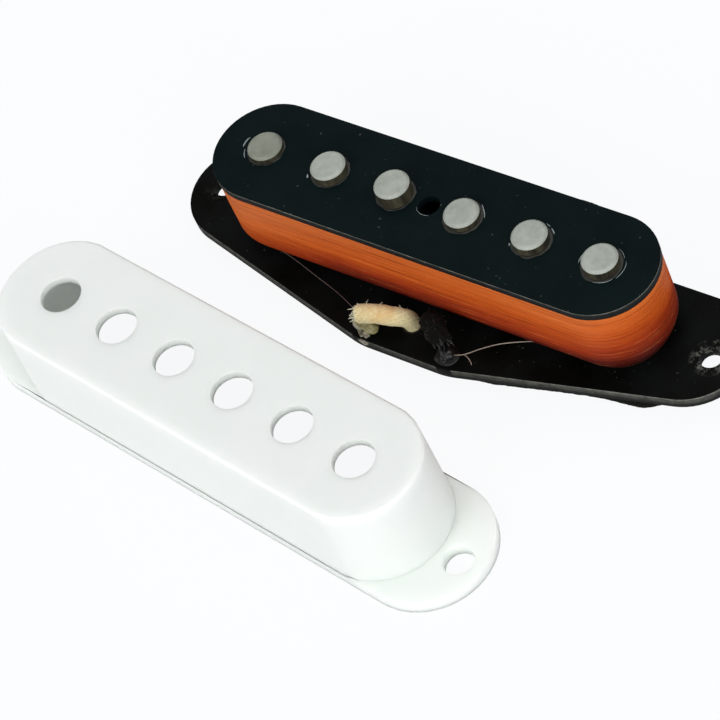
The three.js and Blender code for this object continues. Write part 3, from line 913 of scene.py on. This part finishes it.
def lead_line(lead):
    """The lead's whole line, without the first steps, where its cloth has frayed away."""
    points = [at(*spot) for spot in lead["route"]]
    stops = round(lead["turns"] * loop_steps)
    points += [lead_coil_point(lead, stop / loop_steps) for stop in range(stops + 1)]
    return smooth_line(points, line_step)[fray_steps:]


white_line = lead_line(white_lead)
black_line = lead_line(black_lead)
print("white lead", round(line_length(white_line), 4), "black lead", round(line_length(black_line), 4))

# %% [markdown]
# ## Leads: braided cloth
#
# A braid is two sets of yarns that run round the lead in opposite screws, and at each point the higher
# of the two shows. That is the higher of two slanting waves, one for each way round. Each ring of the
# tube is pushed out by those waves, and the wave is stored for the material. Near its eyelet the cloth
# has been pushed back, so the first centimetre is thicker.


# %% Cloth tubes
braid_yarns = 11
braid_step = 0.85
braid_depth = 0.035
tube_sides = 44
bare_share = 0.955
swollen_length = 10


def braid_height(along_mm, share_round):
    """How high the braid stands, from 0 to 1."""
    turns = [along_mm / braid_step + way * braid_yarns * share_round for way in (1, -1)]
    return 0.5 + max(math.sin(2 * math.pi * turn) for turn in turns) / 2


def near_eyelet(mark):
    """1 where the lead leaves its eyelet, going down to 0 further along."""
    return min(1, max(0, 1.4 - mark / swollen_length))


def make_cloth_tube(name, line, material, swelling, lumps_mm):
    """A tube along the line with the braid, some fuzz and, near the eyelet, swelling and lumps."""
    marks = [0.0]
    for first, second in zip(line, line[1:]):
        marks.append(marks[-1] + (second - first).length / mm)
    thickness = [1 + swelling * near_eyelet(mark) for mark in marks]
    bm = raw_tube(line, lead_diameter / 2 * bare_share, tube_sides, thickness)
    stored = bm.verts.layers.float.new("braid")
    last = len(line) - 1
    for index, vert in enumerate(bm.verts):
        ring = (last, 0)[index // tube_sides] if index < 2 * tube_sides else index // tube_sides - 2
        high = braid_height(marks[ring], index % tube_sides / tube_sides)
        outward = (vert.co - line[ring]).normalized()
        fuzz = noise.noise(vert.co / mm * 5.5) * 0.03 + noise.noise(vert.co / mm * 0.9) * 0.08
        lumps = noise.noise(vert.co / mm * 1.7) * lumps_mm * near_eyelet(marks[ring])
        vert.co += outward * ((high - 0.5) * braid_depth * 2 + fuzz + lumps) * mm
        vert.co.z = max(vert.co.z, 0)
        vert[stored] = high
    bmesh.ops.remove_doubles(bm, verts=bm.verts, dist=0.0005 * mm)
    return add_piece(name, bm, [material], 60)


white_tube = make_cloth_tube("white_lead", white_line, cream_cloth, 0.18, 0.06)
black_tube = make_cloth_tube("black_lead", black_line, black_cloth, 0.28, 0.3)
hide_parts("white_lead_run", "white_lead_coil")
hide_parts("black_lead_run", "black_lead_coil")
print("cloth tubes, faces", len(white_tube.data.polygons), len(black_tube.data.polygons))

# %% [markdown]
# ## Leads: bare ends and loose yarn
#
# The bare tinned end of each lead is several strands twisted together. At the eyelet the braid has
# frayed, so short hairs stand round its mouth and along its back. The hairs are thrown by a dice that
# is set to the same start each time.


# %% Tinned ends
tip_length = 5
tucked_in = 0.6
bend_at = 2.8
end_at = 5.3


def make_strands(name, line, strands, strand_radius, ring_radius, twists):
    """Wires twisted together along a line."""
    parts = []
    for strand in range(strands):
        points = []
        for index, point in enumerate(line):
            ahead = line[min(index + 1, len(line) - 1)] - line[max(index - 1, 0)]
            aside, above = square_to(ahead)
            angle = 2 * math.pi * (strand / strands + twists * index / (len(line) - 1))
            points.append(point + (aside * math.cos(angle) + above * math.sin(angle)) * ring_radius * mm)
        parts.append(closed_tube(points, strand_radius, 8))
    return add_piece(name, gathered(parts), [tinned_metal])


def make_tip(name, lead, line):
    """The bare end that comes out of the coil and leans to its middle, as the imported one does."""
    x, y = lead["coil_middle"]
    middle = at(x, y, lead_diameter / 2)
    onward = (line[-1] - line[-6]).normalized()
    start = line[-1] - onward * tucked_in * mm
    lean = (middle - line[-1]).normalized() * 0.55 * tip_length * mm
    points = [start, line[-1] + onward * bend_at * mm, line[-1] + onward * end_at * mm + lean]
    return make_strands(name, smooth_line(points, 0.4), 6, 0.2, 0.33, 1.6)


white_tip = make_tip("white_lead_end", white_lead, white_line)
black_tip = make_tip("black_lead_end", black_lead, black_line)
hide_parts("white_lead_tip")
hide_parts("black_lead_tip")
print("tinned ends", white_tip.name, black_tip.name)


# %% Loose yarn
end_hair_radius = 0.09
back_hair_radius = 0.035
hair_taper = [1, 0.8, 0.4]


def make_loose_yarn(name, line, material, end_hairs, back_hairs, radius, seed):
    """Hairs that stand out of the lead's frayed mouth, and finer ones along its back."""
    dice = random.Random(seed)
    back = (line[0] - line[4]).normalized()
    aside, above = square_to(back)
    hairs = []
    for _ in range(end_hairs):
        angle = dice.uniform(0, 2 * math.pi)
        spread = aside * math.cos(angle) + above * math.sin(angle)
        root = line[0] + spread * radius * dice.uniform(0.5, 0.95) * mm - back * 0.3 * mm
        way = (back + spread * dice.uniform(0, 0.7) - Vector((0, 0, 0.25))).normalized()
        length = dice.uniform(0.5, 1.25) * mm
        bend = Vector((dice.uniform(-1, 1), dice.uniform(-1, 1), dice.uniform(-1, 0.4))) * 0.25 * length
        points = [root, root + way * length * 0.6, root + way * length + bend]
        hairs.append(closed_tube(points, end_hair_radius, 6, hair_taper))
    for _ in range(back_hairs):
        spot = dice.randrange(2, 44)
        along = (line[spot + 1] - line[spot]).normalized()
        across, up = square_to(along)
        angle = dice.uniform(-0.3, math.pi + 0.3)
        spread = across * math.cos(angle) + up * math.sin(angle)
        root = line[spot] + spread * radius * 0.97 * mm
        way = (spread * 0.5 + along * dice.uniform(-1, 1)).normalized()
        length = dice.uniform(0.3, 0.7) * mm
        points = [root, root + way * length * 0.5, root + way * length]
        hairs.append(closed_tube(points, back_hair_radius, 6, hair_taper))
    return add_piece(name, gathered(hairs), [material])


make_loose_yarn("white_loose_yarn", white_line, white_cotton, 60, 26, 1.28, 7)
make_loose_yarn("black_loose_yarn", black_line, black_cotton, 12, 60, 1.35, 8)
print("loose yarn 2")

# %% [markdown]
# ## Eyelets, solder and flux
#
# The eyelets are brass tubes flared over both faces of the plate. Solder is a liquid that froze, so it
# starts as a turned cone and gets lumps from noise. On the left a lump of cloudy flux fills the space
# under the lead's end, and solder has run out to the plate's edge. On the right all is dark with soot.


# %% Eyelets and solder
smoothing_rounds = 3


def make_solder(word, material, seed):
    """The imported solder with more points, smoothed and made lumpy."""
    bm = joined_copy(f"solder_{word}")
    bmesh.ops.triangulate(bm, faces=bm.faces)
    bmesh.ops.subdivide_edges(bm, edges=bm.edges, cuts=2, use_grid_fill=True)
    for _ in range(smoothing_rounds):
        axes = {"use_axis_x": True, "use_axis_y": True, "use_axis_z": True}
        bmesh.ops.smooth_vert(bm, verts=bm.verts, factor=0.5, **axes)
    make_lumpy(bm, 0.35, 0.9, seed)
    piece = add_piece(f"solder_blob_{word}", bm, [material], 80)
    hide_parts(f"solder_{word}")


def lump(centre, size, depth_mm, blotches_per_mm, seed):
    """A ball pressed to a size in millimetres, with lumps from noise."""
    bm = bmesh.new()
    bmesh.ops.create_icosphere(bm, subdivisions=5, radius=mm)
    bmesh.ops.scale(bm, verts=bm.verts, vec=size)
    bmesh.ops.translate(bm, verts=bm.verts, vec=at(*centre))
    make_lumpy(bm, depth_mm, blotches_per_mm, seed)
    return bm


for word, material, seed in (("left", solder_metal, 5.0), ("right", sooty_solder, 9.0)):
    ring = joined_copy(f"eyelet_{word}")
    soften_edges(ring, 0.06)
    eyelet = add_piece(f"eyelet_ring_{word}", ring, [eyelet_brass])
    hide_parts(f"eyelet_{word}")
    make_solder(word, material, seed)
print("eyelets and solder: 2 of each")

# %% Lumps of flux and spilt solder
flux_lumps = [
    lump((-6.4, -12.95, 5.6), (1.2, 0.75, 1.2), 0.35, 0.9, 2.0),
    lump((-5.3, -12.85, 5.5), (1.25, 0.75, 1.1), 0.35, 1.1, 3.0),
]
add_piece("flux_lump", gathered(flux_lumps), [flux], 80)
spilt_lumps = [
    lump((-6.2, -13.6, 4.8), (0.55, 0.45, 0.6), 0.4, 1.6, 4.0),
    lump((-5.45, -13.75, 4.7), (0.6, 0.45, 0.6), 0.4, 1.7, 6.0),
    lump((-5.9, -14.28, 3.7), (0.75, 0.1, 0.6), 0.12, 1.9, 8.0),
]
add_piece("spilt_solder", gathered(spilt_lumps), [solder_metal], 80)
soot_lumps = [
    lump((6.75, -12.7, 5.4), (0.85, 0.75, 0.9), 0.4, 1.3, 12.0),
    lump((6.3, -13.2, 4.7), (0.5, 0.5, 0.45), 0.3, 1.6, 13.0),
    lump((6.25, -12.3, 4.35), (1.75, 1.6, 0.3), 0.2, 0.9, 14.0),
]
add_piece("sooty_flux", gathered(soot_lumps), [sooty_solder], 80)
print("lumps", len(flux_lumps) + len(spilt_lumps) + len(soot_lumps))

# %% [markdown]
# ## Wax and painted shade in the lead holes
#
# Each lead passes through a hole that is a little wider than the cloth, and the wax dip has filled the
# gap. That dark collar also stands in for the shade under the plate, so the gap shows painted shade
# instead of the white floor. A small profile spun round the hole's middle makes that collar.

# %% Wax collars
shade_collar_profile = [(0.95, 2.75), (1.47, 2.75), (1.47, 4.12), (0.95, 4.2)]
# Painted shade: the dark collar fills the gap where the floor under the plate would show white.
for word, (x, y) in zip(("left", "right"), lead_holes):
    collar = spun(shade_collar_profile, 40)
    bmesh.ops.translate(collar, verts=collar.verts, vec=at(x, y, 0))
    add_piece(f"shade_wax_collar_{word}", collar, [dark_wax_and_shade])
print("wax collars", len(lead_holes))

# %% [markdown]
# ## The coil's own ends
#
# Two hair-thin wires leave the coil's foot and run over the plate to the eyelets. They are single
# loose curves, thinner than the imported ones. A cut-off curl of the same wire lies by the right eyelet.

# %% Coil ends
start_wire_points = [
    (-25.2, -6.2, 4.5), (-22.5, -6.75, 4.7), (-17.1, -8.3, 4.9), (-11.9, -9.96, 5.4),
    (-8.4, -11.5, 6.2), (-7.4, -11.9, 6.4),
]
finish_wire_points = [
    (16.3, -6.3, 4.7), (15.1, -6.95, 4.9), (12.2, -8.55, 5.0), (10.2, -10.15, 5.0),
    (8.6, -11.6, 4.9), (7.1, -12.4, 5.0),
]
curl_points = [
    (8.0, -11.4, 4.25), (8.6, -11.6, 4.75), (9.35, -11.85, 4.85), (9.8, -12.1, 4.5),
    (9.95, -12.3, 4.25),
]
for name, points, node, radius_mm, metal in (
    ("coil_start_line", start_wire_points, "coil_start_wire", 0.05, start_wire_metal),
    ("coil_finish_line", finish_wire_points, "coil_finish_wire", 0.07, finish_wire_metal),
    ("wire_curl", curl_points, None, 0.06, finish_wire_metal),
):
    line = smooth_line([at(*point) for point in points], 0.4)
    wire = add_piece(name, closed_tube(line, radius_mm, 8), [metal])
    if node:
        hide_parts(node)
    print(name, round(line_length(line) / mm, 1), "mm")

# %% [markdown]
# ## Cover
#
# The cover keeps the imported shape: a thin cup with a little draft, so that it leaves its mould, and a
# flange with two ears. A moulded edge is always slightly round, so the sharp edges get a soft bevel,
# apart from the ones at the very foot, which stand on the floor.

# %% Cover
cup = joined_copy("cover")
rounded = soften_edges(cup, 0.16, least_degrees=30, above_mm=0.3)
cover_shell = add_piece("cover_shell", cup, [cover_plastic], 45, "cover")
keep_flats_flat(cover_shell)
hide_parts("cover")
print("cover rounded edges", rounded, "faces", len(cover_shell.data.polygons))

# %% [markdown]
# ## Floor and light
#
# The photograph has a pure white ground. The floor is pale and matt, and what the camera sees of it is
# mostly plain white, with enough of the real floor mixed in to keep the soft shadow under the part.
# The light comes from big soft lamps, so nothing on the part has a hard shadow.

# %% Floor
floor_gap = 0.02
white_share = 0.93
floor_material = bpy.data.materials.new("pale_floor")
floor_material.use_nodes = True
floor_tree = floor_material.node_tree
floor_tree.nodes.clear()
rays = add_node(floor_tree, "ShaderNodeLightPath")
seen = calculate(floor_tree, "MAXIMUM", rays.outputs["Is Camera Ray"], rays.outputs["Is Glossy Ray"])
seen = calculate(floor_tree, "MAXIMUM", seen, rays.outputs["Is Transmission Ray"])
matt = add_node(floor_tree, "ShaderNodeBsdfDiffuse", {"Color": (0.85, 0.86, 0.87, 1)})
white = add_node(floor_tree, "ShaderNodeEmission", {"Color": (0.985, 0.99, 1, 1), "Strength": 1})
share = calculate(floor_tree, "MULTIPLY", seen, white_share)
inputs = {"Fac": share, 1: matt.outputs[0], 2: white.outputs[0]}
floor_mix = add_node(floor_tree, "ShaderNodeMixShader", inputs)
add_node(floor_tree, "ShaderNodeOutputMaterial", {"Surface": floor_mix.outputs[0]})
floor_bmesh = bmesh.new()
bmesh.ops.create_grid(floor_bmesh, x_segments=2, y_segments=2, size=2.5)
bmesh.ops.translate(floor_bmesh, verts=floor_bmesh.verts, vec=(0, 0, -floor_gap * mm))
floor_mesh = bpy.data.meshes.new("floor")
floor_bmesh.to_mesh(floor_mesh)
floor_bmesh.free()
floor_mesh.materials.append(floor_material)
floor = placed("floor", floor_mesh)
print("floor", round(floor.dimensions.x, 2), "m")


# %% Lamps and world
def add_lamp(name, place, size, power):
    """A round soft lamp that looks at the middle. Place and size are in metres, power in watts."""
    data = bpy.data.lights.new(name, "AREA")
    data.shape = "DISK"
    data.size = size
    data.energy = power
    lamp = placed(name, data)
    lamp.location = place
    lamp.rotation_euler = (-Vector(place)).to_track_quat("-Z", "Y").to_euler()


add_lamp("front_lamp", (-0.05, -0.6, 0.42), 0.5, 2.25)
add_lamp("top_lamp", (-0.1, 0.25, 0.75), 0.6, 1.3)
add_lamp("right_lamp", (0.6, -0.25, 0.3), 0.5, 2.0)
world = bpy.data.worlds.new("studio")
world.use_nodes = True
backdrop = world.node_tree.nodes["Background"]
backdrop.inputs["Color"].default_value = (0.97, 0.985, 1, 1)
backdrop.inputs["Strength"].default_value = 0.45
bpy.context.scene.world = world
bpy.context.scene.view_settings.view_transform = "Standard"
print("lamps 3, world strength", round(backdrop.inputs["Strength"].default_value, 2))
